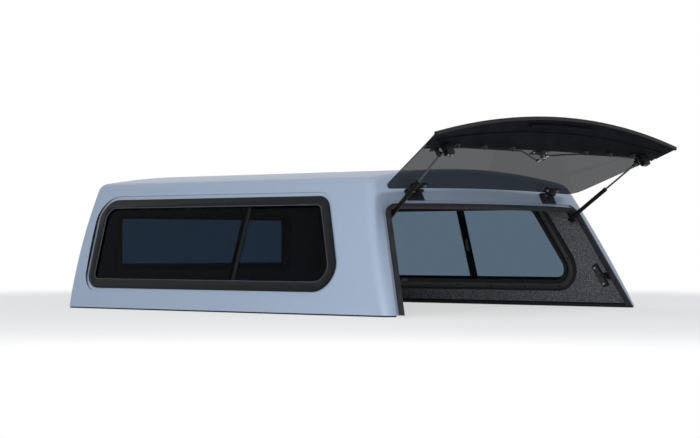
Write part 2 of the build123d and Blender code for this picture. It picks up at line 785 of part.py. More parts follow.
finish(latch_rod(-1, handle_drop - pin_y), "latch_rod_left")
finish(latch_rod(1, handle_drop + pin_y), "latch_rod_right")

latch_inner = latch_at - latch_width / 2
latch_outer = latch_at + latch_width / 2
with BuildPart() as side_latch:
    add(slab(door_plane, -latch_outer, -latch_inner, -rod_line - latch_height / 2,
             -rod_line + latch_height / 2, -latch_depth, 0))
    add(behind(door_plane, skirt_back - seat_gap), mode=Mode.INTERSECT)
    add(slab(door_plane, -latch_outer, -latch_inner, -rod_line - latch_jaw / 2,
             -rod_line + latch_jaw / 2, -latch_depth, latch_jaw_depth - latch_depth),
        mode=Mode.SUBTRACT)
    add(bar(on_door(-latch_inner - rod_entry - rod_spare, rod_line, -rod_depth),
            on_door(-latch_inner, rod_line, -rod_depth), rod_radius + pin_gap),
        mode=Mode.SUBTRACT)
both_sides(side_latch, "side_latch")

striker_out = hinge_standoff - striker_depth
striker_arm_at = latch_at + striker_arm_offset
striker_foot_at = striker_arm_at + striker_foot_length
striker_pin_end = striker_arm_at - striker_pin_length
with BuildPart() as striker:
    add(slab(rear_plane, -striker_foot_at, -striker_arm_at, striker_line - striker_height / 2,
             striker_line + striker_height / 2, -reach, 0))
    add(behind(rear_plane, ledge_back - seat_gap - bracket_thickness), mode=Mode.SUBTRACT)
    add(slab(rear_plane, -striker_arm_at - bracket_thickness, -striker_arm_at,
             striker_line - striker_height / 2, striker_line + striker_height / 2,
             -striker_reach, 0))
    add(behind(rear_plane, ledge_back - seat_gap), mode=Mode.INTERSECT)
    add(bar(rear_plane.from_local_coords(Vector(-striker_arm_at, striker_line, striker_out)),
            rear_plane.from_local_coords(Vector(-striker_pin_end, striker_line, striker_out)),
            striker_radius))
both_sides(striker, "striker")
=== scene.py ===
"""Pickup truck canopy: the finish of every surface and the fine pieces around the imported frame."""
import json
import logging
import math
from dataclasses import dataclass, field
from enum import Enum
from typing import Any, Iterable

import bmesh
import bpy
from mathutils import Matrix, Vector
from mathutils.bvhtree import BVHTree

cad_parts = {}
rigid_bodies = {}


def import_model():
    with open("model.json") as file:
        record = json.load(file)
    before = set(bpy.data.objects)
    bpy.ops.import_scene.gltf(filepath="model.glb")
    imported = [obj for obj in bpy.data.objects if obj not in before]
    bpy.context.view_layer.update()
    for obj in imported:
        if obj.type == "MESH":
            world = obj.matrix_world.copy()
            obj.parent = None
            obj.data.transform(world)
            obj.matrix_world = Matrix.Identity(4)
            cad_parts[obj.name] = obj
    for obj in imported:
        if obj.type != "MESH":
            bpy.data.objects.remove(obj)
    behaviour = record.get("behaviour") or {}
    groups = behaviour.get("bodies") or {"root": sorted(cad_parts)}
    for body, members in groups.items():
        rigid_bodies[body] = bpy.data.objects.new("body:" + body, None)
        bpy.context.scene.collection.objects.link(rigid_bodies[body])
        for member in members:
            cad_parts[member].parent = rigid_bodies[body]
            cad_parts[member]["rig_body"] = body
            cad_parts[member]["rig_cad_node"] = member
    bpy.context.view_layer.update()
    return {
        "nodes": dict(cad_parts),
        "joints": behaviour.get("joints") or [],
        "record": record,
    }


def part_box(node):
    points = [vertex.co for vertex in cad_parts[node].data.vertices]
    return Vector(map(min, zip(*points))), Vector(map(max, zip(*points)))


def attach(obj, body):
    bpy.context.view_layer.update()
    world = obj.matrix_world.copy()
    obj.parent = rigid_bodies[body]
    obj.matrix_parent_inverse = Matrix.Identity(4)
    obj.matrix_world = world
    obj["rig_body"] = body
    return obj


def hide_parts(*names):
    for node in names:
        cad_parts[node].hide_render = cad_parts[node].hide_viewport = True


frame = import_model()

LOG = logging.getLogger("canopy")
MM = 0.001
MERGE_MM = 0.01             # corners of the CAD's triangles closer than this are one

Colour = tuple[float, float, float, float]
Size = tuple[float, float, float]
Tree = bpy.types.NodeTree
Node = bpy.types.Node
Socket = bpy.types.NodeSocket
Piece = bpy.types.Object


class Side(Enum):
    """The canopy's left and right, with the sign of X on each."""

    LEFT = -1
    RIGHT = 1

    @property
    def word(self) -> str:
        """The side's name as it ends a node's name."""
        return self.name.lower()


class Body(Enum):
    """The bodies that pieces ride on."""

    CANOPY = "canopy"
    DOOR = "rear_door"
    HANDLE = "handle"
    TUBE_LEFT = "strut_tube_left"
    TUBE_RIGHT = "strut_tube_right"
    ROD_LEFT = "strut_rod_left"
    ROD_RIGHT = "strut_rod_right"

    @classmethod
    def strut(cls, part: str, side: Side) -> "Body":
        """The body of one side's tube or rod."""
        return cls(f"strut_{part}_{side.word}")


# Colours and nodes


def srgb(hex_colour: str) -> Colour:
    """Turn an sRGB hex value into the linear colour that shaders take.

    Args:
        hex_colour: six hex digits with a leading hash.

    Returns:
        The linear colour with full alpha.
    """
    parts = [int(hex_colour[place:place + 2], 16) / 255 for place in (1, 3, 5)]
    linear = [p / 12.92 if p <= 0.04045 else ((p + 0.055) / 1.055) ** 2.4 for p in parts]
    return (*linear, 1.0)


def per_grain(size_mm: float) -> float:
    """The texture scale that gives a pattern of this size in millimetres."""
    return 1.0 / (size_mm * MM)


def add_node(tree: Tree, kind: str, inputs: dict[Any, Any] | None = None, **settings: Any) -> Node:
    """Add a shader node with its settings, values and links.

    Args:
        tree: the tree that gets the node.
        kind: the node's type name.
        inputs: sockets by name or index, each with a value or another node's output.
        settings: attributes of the node itself.

    Returns:
        The new node.
    """
    node = tree.nodes.new(kind)
    for name, value in settings.items():
        setattr(node, name, value)
    for key, value in (inputs or {}).items():
        if isinstance(value, Socket):
            tree.links.new(value, node.inputs[key])
        else:
            node.inputs[key].default_value = value
    return node


@dataclass(frozen=True)
class Finish:
    """What a surface is made of. Each kind of finish wires its own pattern."""

    label: str

    def pattern(self, shader: Node, place: Socket) -> None:
        """Wire the finish's pattern into its shader."""
        raise NotImplementedError

    def material(self) -> bpy.types.Material:
        """Make the material, or return the one already made.

        Returns:
            The material with this finish's label.
        """
        found = bpy.data.materials.get(self.label)
        if found:
            return found
        made = bpy.data.materials.new(self.label)
        made.use_nodes = True
        shader = made.node_tree.nodes["Principled BSDF"]
        place = add_node(made.node_tree, "ShaderNodeTexCoord").outputs["Object"]
        self.pattern(shader, place)
        return made


def set_values(shader: Node, values: dict[str, Any]) -> None:
    """Set plain values on a shader's own sockets."""
    for name, value in values.items():
        shader.inputs[name].default_value = value


def blotches(place: Socket, size_mm: float, detail: float) -> Socket:
    """A soft noise of one size, from 0 to 1."""
    noise = add_node(place.id_data, "ShaderNodeTexNoise",
                     {"Vector": place, "Scale": per_grain(size_mm), "Detail": detail})
    return noise.outputs["Fac"]


def vary(shader: Node, value: str, amount: Socket, limits: tuple[float, float],
         ends: tuple[Any, Any]) -> None:
    """Let a noise carry one of a shader's values or colours between two ends.

    Args:
        shader: the shader.
        value: the socket's name.
        amount: the noise.
        limits: where the change starts and ends in the noise.
        ends: the value or colour at each end.
    """
    tree = shader.id_data
    span = {"Value": amount, "From Min": limits[0], "From Max": limits[1]}
    if isinstance(ends[0], tuple):
        share = add_node(tree, "ShaderNodeMapRange", span).outputs["Result"]
        result = add_node(tree, "ShaderNodeMix", {0: share, 6: ends[0], 7: ends[1]},
                          data_type="RGBA").outputs[2]
    else:
        span |= {"To Min": ends[0], "To Max": ends[1]}
        result = add_node(tree, "ShaderNodeMapRange", span).outputs["Result"]
    tree.links.new(result, shader.inputs[value])


def raise_surface(shader: Node, height: Socket, depth_mm: float, strength: float) -> None:
    """Give a shader a bump of a real depth."""
    tree = shader.id_data
    bump = add_node(tree, "ShaderNodeBump",
                    {"Height": height, "Distance": depth_mm * MM, "Strength": strength})
    tree.links.new(bump.outputs["Normal"], shader.inputs["Normal"])


@dataclass(frozen=True)
class MetallicPaint(Finish):
    """Sprayed base coat with aluminium flake under clear lacquer: bright, cool and deep."""

    colour: str = "#9AAABF"
    flake_colour: str = "#A1B0C4"
    flake_mm: float = 2.0       # the real flake is far finer, drawn coarse enough to show
    peel_mm: float = 9.0        # orange peel of the lacquer

    def pattern(self, shader: Node, place: Socket) -> None:
        """Wire the flake's glitter and the lacquer's faint orange peel."""
        cells = add_node(shader.id_data, "ShaderNodeTexVoronoi",
                         {"Vector": place, "Scale": per_grain(self.flake_mm)})
        vary(shader, "Base Color", cells.outputs["Color"], (0.1, 0.9),
             (srgb(self.colour), srgb(self.flake_colour)))
        set_values(shader, {"Metallic": 0.35, "Roughness": 0.42, "Specular IOR Level": 0.25,
                            "Coat Weight": 0.12, "Coat Roughness": 0.08})
        raise_surface(shader, blotches(place, self.peel_mm, 1.0), 0.03, 0.1)


@dataclass(frozen=True)
class NeedleFelt(Finish):
    """Needle-punched headliner carpet: matt, hairy, with pale flecks in dark fibre."""

    dark: str = "#4E5054"
    pale: str = "#8A8C90"
    fleck_mm: float = 5.0       # flecks are 1 to 2 mm, drawn coarse enough to show
    fibre_mm: float = 2.5

    def pattern(self, shader: Node, place: Socket) -> None:
        """Wire the flecks, the fibre's bump and its sheen."""
        vary(shader, "Base Color", blotches(place, self.fleck_mm, 5.0), (0.46, 0.66),
             (srgb(self.dark), srgb(self.pale)))
        set_values(shader, {"Roughness": 0.96, "Sheen Weight": 0.25, "Specular IOR Level": 0.2})
        raise_surface(shader, blotches(place, self.fibre_mm, 6.0), 1.5, 0.6)


@dataclass(frozen=True)
class CelledRubber(Finish):
    """Extruded cellular rubber: soft black with a dusty grey bloom; the glazing rubber's lighter
    blue-grey is a painted highlight.
    """

    colour: str = "#1A1B1D"
    bloom: str = "#2A2B2E"
    cell_mm: float = 1.5
    bloom_mm: float = 60.0

    def pattern(self, shader: Node, place: Socket) -> None:
        """Wire the bloom, which on the glazing rubber is a painted highlight, and the fine cells."""
        vary(shader, "Base Color", blotches(place, self.bloom_mm, 4.0), (0.4, 0.7),
             (srgb(self.colour), srgb(self.bloom)))
        set_values(shader, {"Roughness": 0.8, "Specular IOR Level": 0.35})
        raise_surface(shader, blotches(place, self.cell_mm, 2.0), 0.2, 0.35)


@dataclass(frozen=True)
class PowderCoat(Finish):
    """Satin powder coat on metal: dense black with a fine even grain."""

    colour: str = "#0A0B0D"
    worn: str = "#121417"
    grain_mm: float = 1.8
    roughness: float = 0.42
    mirror: float = 0.15
    handled_mm: float = 45.0    # patches that hands have rubbed

    def pattern(self, shader: Node, place: Socket) -> None:
        """Wire the coat's grain, and a gloss that varies with handling."""
        handled = blotches(place, self.handled_mm, 4.0)
        vary(shader, "Base Color", handled, (0.35, 0.7), (srgb(self.colour), srgb(self.worn)))
        vary(shader, "Roughness", handled, (0.3, 0.7),
             (self.roughness - 0.06, self.roughness + 0.08))
        set_values(shader, {"Specular IOR Level": self.mirror})
        raise_surface(shader, blotches(place, self.grain_mm, 2.0), 0.08, 0.3)


@dataclass(frozen=True)
class TintedGlass(Finish):
    """Body-tinted toughened glass: sees through grey, and mirrors faintly on its faces."""

    tint: str
    haze_mm: float = 220.0      # faint dust in wide patches
    index: float = 1.1          # lower than real, so that the pale studio mirrors faintly

    def pattern(self, shader: Node, place: Socket) -> None:
        """Wire the clear tint and the film of dust that dulls it in patches."""
        vary(shader, "Roughness", blotches(place, self.haze_mm, 5.0), (0.4, 0.8), (0.0, 0.02))
        set_values(shader, {"Base Color": srgb(self.tint), "Transmission Weight": 1.0,
                            "IOR": self.index})


@dataclass(frozen=True)
class GelCoat(Finish):
    """Black gel coat as it leaves the mould: an even dark face, slightly wavy."""

    colour: str
    wave_mm: float
    roughness: float
    coat: float
    mirror: float
    smear_mm: float = 80.0

    def pattern(self, shader: Node, place: Socket) -> None:
        """Wire the long waves that moulded gel coat shows in its reflections."""
        vary(shader, "Roughness", blotches(place, self.smear_mm, 4.0), (0.35, 0.7),
             (self.roughness, self.roughness + 0.12))
        set_values(shader, {"Base Color": srgb(self.colour), "Coat Weight": self.coat,
                            "Coat Roughness": 0.06, "Specular IOR Level": self.mirror})
        raise_surface(shader, blotches(place, self.wave_mm, 1.0), 0.02, 0.1)


@dataclass(frozen=True)
class PlatedSteel(Finish):
    """Bright zinc-plated or ground steel: cool grey with fine drawn lines."""

    colour: str = "#B4B8BE"
    line_mm: float = 1.2
    roughness: float = 0.3
    drawn: float = 0.08         # width of a line over its length

    def pattern(self, shader: Node, place: Socket) -> None:
        """Wire the drawn lines as a change of gloss and a faint bump."""
        lines = add_node(shader.id_data, "ShaderNodeMapping",
                         {"Vector": place, "Scale": (self.drawn, 1.0, 1.0)})
        grain = blotches(lines.outputs["Vector"], self.line_mm, 2.0)
        vary(shader, "Roughness", grain, (0.3, 0.7), (self.roughness - 0.08, self.roughness + 0.1))
        set_values(shader, {"Base Color": srgb(self.colour), "Metallic": 1.0})
        raise_surface(shader, grain, 0.03, 0.2)


@dataclass(frozen=True)
class MouldedPlastic(Finish):
    """Injection-moulded plastic with a spark-eroded grain: matt black."""

    colour: str = "#17181A"
    grain_mm: float = 1.4
    roughness: float = 0.6
    patch_mm: float = 50.0

    def pattern(self, shader: Node, place: Socket) -> None:
        """Wire the grain and a slight unevenness of the gloss."""
        cells = add_node(shader.id_data, "ShaderNodeTexVoronoi",
                         {"Vector": place, "Scale": per_grain(self.grain_mm)})
        vary(shader, "Roughness", blotches(place, self.patch_mm, 3.0), (0.3, 0.7),
             (self.roughness - 0.07, self.roughness + 0.07))
        set_values(shader, {"Base Color": srgb(self.colour)})
        raise_surface(shader, cells.outputs["Distance"], 0.1, 0.35)


PAINT = MetallicPaint("silver_blue_metallic_lacquer")
FELT = NeedleFelt("needle_felt_carpet")
RUBBER = CelledRubber("cellular_rubber")
FRAME_COAT = PowderCoat("satin_powder_coat")
STRUT_COAT = PowderCoat("strut_black_enamel", "#0A0B0C", "#111214", 1.2, 0.34, 0.1)
SIDE_GLASS = TintedGlass("side_privacy_glass", "#556676")
DOOR_GLASS = TintedGlass("door_privacy_glass", "#5D5E60", index=1.03)
MOULDING = GelCoat("black_gel_coat", "#0D0F13", 60.0, 0.35, 0.1, 0.15)
FLOW_COAT = GelCoat("black_flow_coat", "#0B0E14", 25.0, 0.6, 0.0, 0.05)
SHELL_LINER = GelCoat("shell_inner_flow_coat", "#1B1D21", 18.0, 0.6, 0.0, 0.2)
ZINC = PlatedSteel("bright_zinc_plate")
ROD_STEEL = PlatedSteel("ground_rod_steel", "#55585C", 1.0, 0.22)
LOCK_STEEL = PlatedSteel("polished_lock_face", "#D0D2D6", 0.8, 0.2)
# The glazing rubber is a lighter blue-grey than the black rubber: a painted highlight along the
# inner edge of each window frame.
GLAZING_RUBBER_PAINTED_HIGHLIGHT = CelledRubber("glazing_rubber", "#3A4048", "#4A515A")
TRIM = MouldedPlastic("grained_trim_plastic")


def by_node(groups: dict[Any, tuple[str, ...]]) -> dict[str, Any]:
    """Turn values with their nodes into nodes with their values."""
    return {node: value for value, nodes in groups.items() for node in nodes}


NODE_FINISHES: dict[str, Finish] = by_node({
    PAINT: ("shell",),
    FELT: ("side_lining", "roof_lining", "front_lining"),
    RUBBER: ("base_seal", "opening_seal"),
    FRAME_COAT: ("window_frame", "window_divider", "front_window_frame", "hinge_body_leaf",
                 "hinge_door_leaf", "strut_base_bracket", "strut_top_bracket",
                 "latch_base_plate", "side_latch", "striker", "door_handle"),
    TRIM: ("trim_ring", "front_trim_ring"),
    SIDE_GLASS: ("fixed_pane", "sliding_pane", "front_window_glass"),
    DOOR_GLASS: ("door_glass",),
    MOULDING: ("door_skirt",),
    STRUT_COAT: ("strut_tube", "latch_rod"),
    ROD_STEEL: ("strut_rod",),
    ZINC: ("latch_cam",),
    LOCK_STEEL: ("lock_cylinder",),
})

MIDDLE_Y = -0.9                     # about halfway along the canopy

# Mouldings that have another finish on the faces that look towards a middle point
INNER_FINISHES: dict[str, tuple[Finish, Vector]] = {
    "shell": (SHELL_LINER, Vector((0.0, MIDDLE_Y, 0.2))),
    "door_skirt": (FLOW_COAT, Vector((0.0, -1.95, -20.0))),
}

SEAL_ENDS = ("base_seal_left", "base_seal_right")
# The planes that cut their rear ends, each a place and a direction, for the right side
SEAL_CUTS = (((0.0, -1.8, 0.0), (0.0, -1.0, 0.0)), ((0.8265, -1.7885, 0.0), (1.0, -1.0, 0.0)))

# The flat panel that a side window is set in
WINDOW_PANEL_Y = (-1.64, -0.03)     # along the canopy, at the foot
WINDOW_REAR_SLOPE = 0.47            # forward lean of its rear end
WINDOW_PANEL_Z = (0.06, 0.495)
WINDOW_PANEL_DEPTH = 0.03

# Radius of the rounded edges
EDGES_MM: dict[str, float] = by_node({
    0.4: ("latch_cam",),
    0.6: ("hinge_body_leaf", "hinge_door_leaf", "strut_base_bracket", "strut_top_bracket",
          "latch_base_plate", "striker"),
    0.8: ("window_divider",),
    1.0: ("side_latch",),
    1.2: ("trim_ring", "front_trim_ring"),
    2.0: ("window_frame", "front_window_frame", "door_handle"),
    3.5: ("opening_seal",),
})


def matching(table: dict[str, Any], node: str, missing: Any = None) -> Any:
    """A table's entry for a CAD node, by the longest key that its name starts with."""
    matches = [key for key in table if node.startswith(key)]
    return table[max(matches, key=len)] if matches else missing


# Modelling helpers


def select_only(piece: Piece) -> None:
    """Deselect everything, then select a piece and make it active."""
    bpy.ops.object.select_all(action="DESELECT")
    piece.select_set(True)
    bpy.context.view_layer.objects.active = piece


def dress(piece: Piece, finish: Finish) -> None:
    """Give a piece one finish all over."""
    piece.data.materials.clear()
    piece.data.materials.append(finish.material())


def edit(piece: Piece) -> None:
    """Open a piece for editing with all of it selected."""
    select_only(piece)
    bpy.ops.object.mode_set(mode="EDIT")
    bpy.ops.mesh.select_all(action="SELECT")


def close(piece: Piece, smooth_deg: float = 35.0) -> Piece:
    """End editing: merge, point the faces outwards and smooth.

    Args:
        piece: the piece in edit mode.
        smooth_deg: edges flatter than this are smoothed.

    Returns:
        The same piece.
    """
    bpy.ops.mesh.select_all(action="SELECT")
    bpy.ops.mesh.remove_doubles(threshold=0.005 * MM)
    bpy.ops.mesh.normals_make_consistent(inside=False)
    bpy.ops.object.mode_set(mode="OBJECT")
    bpy.ops.object.shade_smooth_by_angle(angle=math.radians(smooth_deg))
    return piece


def loose_copy(node: str) -> Piece:
    """A copy of a CAD node with its own mesh, free of the frame."""
    source = frame["nodes"][node]
    twin = source.copy()
    twin.data = source.data.copy()
    twin.parent = None
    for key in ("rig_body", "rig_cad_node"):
        del twin[key]
    twin.hide_render = twin.hide_viewport = False
    bpy.context.scene.collection.objects.link(twin)
    return twin


@dataclass
class SmoothCopy:
    """A CAD node's own shape with its seams merged, so that its curved faces shade smoothly."""

    node: str
    body: str
    slot: str
    edge_mm: float = 0.0
    smooth_deg: float = 28.0
    piece: Piece = field(init=False)

    def build(self) -> None:
        """Copy the node, merge its loose triangles, smooth it and let it replace the node."""
        self.piece = loose_copy(self.node)
        self.piece.name = f"{self.node}_dressed"
        edit(self.piece)
        bpy.ops.mesh.customdata_custom_splitnormals_clear()
        bpy.ops.mesh.remove_doubles(threshold=MERGE_MM * MM)
        bpy.ops.mesh.dissolve_limited(angle_limit=math.radians(0.03))
        bpy.ops.object.mode_set(mode="OBJECT")
        if self.node in SEAL_ENDS:
            self.trim_end()
        if self.edge_mm:
            self.soften()
        bpy.ops.object.shade_smooth_by_angle(angle=math.radians(self.smooth_deg))
        dress(self.piece, matching(NODE_FINISHES, self.node))
        if self.node in INNER_FINISHES:
            self.coat_inside(*INNER_FINISHES[self.node])
        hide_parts(self.node)
        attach(self.piece, self.body)

    def coat_inside(self, finish: Finish, middle: Vector) -> None:
        """Give the faces that look towards a middle point another finish.

        Args:
            finish: what the inner faces are made of.
            middle: a point inside the moulding.
        """
        self.piece.data.materials.append(finish.material())
        panels = [pane_place(f"fixed_pane_{side.word}") for side in Side]
        for face in self.piece.data.polygons:
            if face.normal.dot(face.center - middle) < 0 or any(
                    backs_panel(face, panel) for panel in panels):
                face.material_index = 1

    def trim_end(self) -> None:
        """Cut a base seal back to the rounded rear corner of the moulding."""
        bpy.ops.object.mode_set(mode="EDIT")
        side = math.copysign(1.0, self.piece.data.vertices[0].co.x)
        for spot, way in SEAL_CUTS:
            bpy.ops.mesh.select_all(action="SELECT")
            bpy.ops.mesh.bisect(plane_co=(side * spot[0], *spot[1:]),
                                plane_no=(side * way[0], *way[1:]),
                                use_fill=True, clear_outer=True)
        bpy.ops.object.mode_set(mode="OBJECT")

    def soften(self) -> None:
        """Round the copy's sharp edges, as a press or a mould leaves them."""
        bevel = self.piece.modifiers.new("edges", "BEVEL")
        bevel.width = self.edge_mm * MM
        bevel.segments = 2
        bevel.limit_method = "ANGLE"
        bevel.angle_limit = math.radians(35)
        bevel.use_clamp_overlap = True
        bpy.ops.object.modifier_apply(modifier=bevel.name)


@dataclass
class DressedNodes:
    """All the CAD nodes, each as a smooth copy with its own finish."""

    edges_mm: dict[str, float]

    def build(self) -> None:
        """Dress every node of the frame."""
        slots = {part["node"]: part["material_slot"] for part in frame["record"]["subparts"]}
        for body, nodes in frame["record"]["behaviour"]["bodies"].items():
            for node in nodes:
                SmoothCopy(node, body, slots[node], matching(self.edges_mm, node, 0.0)).build()
                LOG.info("dressed %s", node)


# Working planes


@dataclass(frozen=True)
class Place:
    """A working plane: its origin, and the directions to its right and up."""

    origin: Vector
    right: Vector
    up: Vector

    @property
    def out(self) -> Vector:
        """The direction out of the plane."""
        return self.right.cross(self.up)

    @property
    def axes(self) -> Matrix:
        """The matrix that turns X, Y and Z to the plane's right, up and out."""
        return Matrix((self.right, self.up, self.out)).transposed().to_4x4()

    @property
    def behind(self) -> "Place":
        """The same plane, looked at from its other side."""
        return Place(self.origin, self.right * -1, self.up)

    def spot(self, right_mm: float, up_mm: float, out_mm: float = 0.0) -> Vector:
        """A point given in millimetres on the plane."""
        return (self.origin + self.right * right_mm * MM + self.up * up_mm * MM
                + self.out * out_mm * MM)

    def matrix(self, right_mm: float, up_mm: float, out_mm: float = 0.0) -> Matrix:
        """The matrix that stands a piece, modelled along Z at the origin, on the plane."""
        return Matrix.Translation(self.spot(right_mm, up_mm, out_mm)) @ self.axes


X_AXIS = Vector((1.0, 0.0, 0.0))
PANE_MM = 4.0
GLASS_OUT_MM = 20.0             # outer face of the door's glass, from the hinge axis
HANDLE_DROP_MM = 325.0          # from the hinge axis down the door
RING_SCREW_INSET_MM = 11.0      # from the outer edge of a trim ring
REAR_BOW_MM = 15000.0           # radius of the rear face in plan


def joint(name: str) -> dict[str, Any]:
    """A joint of the frame by its name."""
    return next(entry for entry in frame["joints"] if entry["name"] == name)


def bow_mm(right_mm: float) -> float:
    """How far a bowed face has fallen back at a distance from the middle."""
    return REAR_BOW_MM - math.sqrt(REAR_BOW_MM ** 2 - right_mm ** 2)


def door_place() -> Place:
    """The open door's plane, through the hinge axis, with up towards the hinges."""
    out = Vector(joint("handle_turn")["axis"]).normalized()
    return Place(Vector(joint("door_hinge")["pos_m"]), X_AXIS, out.cross(X_AXIS))


def rear_place() -> Place:
    """The rear face's direction, through the hinge axis."""
    door = door_place()
    return Place(door.origin, X_AXIS, hinge_swing(1) @ door.up)


def strut_place(side: Side) -> Place:
    """A plane square to a strut at its lower pivot, with out along the strut."""
    way = Vector(joint(f"strut_slide_{side.word}")["axis"]).normalized()
    right = way.cross(X_AXIS).normalized()
    return Place(Vector(joint(f"strut_pivot_{side.word}")["pos_m"]), right, way.cross(right))


def pane_place(node: str) -> Place:
    """The plane of a flat pane, through the middle of its outer face.

    Args:
        node: the pane's CAD node.

    Returns:
        The plane, with out away from the canopy's middle.
    """
    mesh = frame["nodes"][node].data
    faces = sorted(mesh.polygons, key=lambda face: face.area)
    out = faces[-1].normal.copy()
    low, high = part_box(node)
    middle = (low + high) / 2
    if out.dot(middle - Vector((0.0, MIDDLE_Y, middle.z))) < 0:
        out.negate()
    up = (Vector((0.0, 0.0, 1.0)) - out * out.z).normalized()
    reach = max(vertex.co.dot(out) for vertex in mesh.vertices)
    return Place(middle + out * (reach - middle.dot(out)), up.cross(out), up)


def hinge_swing(sign: int) -> Matrix:
    """The turn about the hinge axis that closes the door, or with -1 opens it again."""
    return Matrix.Rotation(sign * math.radians(joint("door_hinge")["range_deg"][1]), 3, "X")


def opened(closed: Vector) -> Vector:
    """A place on the closed door, swung to where the door stands open."""
    axis = Vector(joint("door_hinge")["pos_m"])
    return axis + hinge_swing(-1) @ (closed - axis)


def first_hit(node: str, start: Vector, way: Vector) -> tuple[Vector, Vector]:
    """Where a ray meets a CAD node's surface.

    Args:
        node: the CAD node.
        start: where the ray starts.
        way: its direction.

    Returns:
        The place, and the surface's direction there.
    """
    shape = bmesh.new()
    shape.from_mesh(frame["nodes"][node].data)
    spot, normal, _, _ = BVHTree.FromBMesh(shape).ray_cast(start, way)
    shape.free()
    return spot, normal


def backs_panel(face: bpy.types.MeshPolygon, panel: Place) -> bool:
    """Whether a face of the shell is an edge of a side window's panel, on its inner side."""
    outwards = face.center - panel.origin
    return (abs(outwards.dot(panel.out)) < WINDOW_PANEL_DEPTH
            and abs(face.normal.dot(panel.out)) < 0.5 and face.normal.dot(outwards) > 0
            and WINDOW_PANEL_Y[0] + face.center.z * WINDOW_REAR_SLOPE < face.center.y
            and face.center.y < WINDOW_PANEL_Y[1]
            and WINDOW_PANEL_Z[0] < face.center.z < WINDOW_PANEL_Z[1])


# Modelling of fine pieces


def disc(radius_mm: float, sides: int, spot: Any, turn: Any = (0.0, 0.0, 0.0)) -> Piece:
    """Open a flat disc for editing, at a place and with its turn applied."""
    bpy.ops.object.select_all(action="DESELECT")
    bpy.ops.mesh.primitive_circle_add(vertices=sides, radius=radius_mm * MM, fill_type="NGON",
                                      location=spot, rotation=turn)
    piece = bpy.context.object
    bpy.ops.object.transform_apply(location=True, rotation=True, scale=True)
    edit(piece)
    return piece


def push(way: Any) -> None:
    """Extrude what is selected."""
    bpy.ops.mesh.extrude_region_move(TRANSFORM_OT_translate={"value": way})


def turned(stations: list[tuple[float, float]], sides: int = 24) -> Piece:
    """A turned piece along Z, extruded and widened from station to station.

    Args:
        stations: radius and height in millimetres, from one end to the other.
        sides: how many sides the round has.

    Returns:
        The piece, at the origin.
    """
    radius, height = stations[0]
    piece = disc(radius, sides, (0.0, 0.0, height * MM))
    for wider, higher in stations[1:]:
        push((0.0, 0.0, (higher - height) * MM))
        bpy.ops.transform.resize(value=(wider / radius, wider / radius, 1.0))
        radius, height = wider, higher
    return close(piece)


def rounded_block(size_mm: Size, edge_mm: float, taper: float = 1.0) -> Piece:
    """A block with rounded edges that stands on the plane Z = 0.

    Args:
        size_mm: width, height on the plane and thickness.
        edge_mm: how far the edges are rounded.
        taper: size of the outer face over that of the foot.

    Returns:
        The piece, at the origin.
    """
    bpy.ops.object.select_all(action="DESELECT")
    bpy.ops.mesh.primitive_plane_add(size=MM)
    piece = bpy.context.object
    edit(piece)
    bpy.ops.transform.resize(value=(size_mm[0], size_mm[1], 1.0))
    push((0.0, 0.0, size_mm[2] * MM))
    bpy.ops.transform.resize(value=(taper, taper, 1.0))
    bpy.ops.mesh.select_all(action="SELECT")
    bpy.ops.mesh.bevel(offset=edge_mm * MM, segments=2, affect="EDGES")
    return close(piece)


def copy_to(model: Piece, place: Matrix) -> Piece:
    """Copy a modelled piece, with a mesh of its own, to a place."""
    twin = model.copy()
    twin.data = model.data.copy()
    twin.data.transform(place)
    bpy.context.scene.collection.objects.link(twin)
    return twin


def joined(pieces: Iterable[Piece], name: str) -> Piece:
    """Join like pieces of one body into one."""
    pieces = list(pieces)
    bpy.ops.object.select_all(action="DESELECT")
    for piece in pieces:
        piece.select_set(True)
    bpy.context.view_layer.objects.active = pieces[0]
    if len(pieces) > 1:
        bpy.ops.object.join()
    pieces[0].name = name
    return pieces[0]


def settle(piece: Piece, name: str, finish: Finish, body: Body) -> None:
    """Name a finished piece, dress it and let it ride on its body.

    Args:
        piece: the piece, with its place in its mesh.
        name: its name.
        finish: what it is made of.
        body: the body that it moves with.
    """
    piece.name = name
    dress(piece, finish)
    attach(piece, body.value)


def repeat(name: str, finish: Finish, body: Body, model: Piece,
           places: Iterable[Matrix]) -> None:
    """Copy a model to many places of one body, join the copies and drop the model.

    Args:
        name: the joined piece's name.
        finish: what it is made of.
        body: the body that it moves with.
        model: the modelled piece, at the origin.
        places: where its copies stand.
    """
    copies = [copy_to(model, place) for place in places]
    bpy.data.objects.remove(model)
    settle(joined(copies, name), name, finish, body)


def socket_screw(head_mm: float, height_mm: float) -> Piece:
    """A button-head screw with a round socket."""
    return turned([(head_mm * 1.25, 0.0), (head_mm * 1.25, 0.6), (head_mm, 0.6),
                   (head_mm, height_mm * 0.5), (head_mm * 0.72, height_mm),
                   (head_mm * 0.45, height_mm), (head_mm * 0.4, height_mm * 0.3)])


def clamp_cap(radius_mm: float, height_mm: float) -> Piece:
    """A flat round cap on a soft washer, as clamps a leaf through glass."""
    return turned([(radius_mm * 1.12, 0.0), (radius_mm * 1.12, 0.8), (radius_mm, 0.8),
                   (radius_mm, height_mm * 0.7), (radius_mm * 0.85, height_mm),
                   (radius_mm * 0.4, height_mm), (radius_mm * 0.36, height_mm * 0.6)], 32)


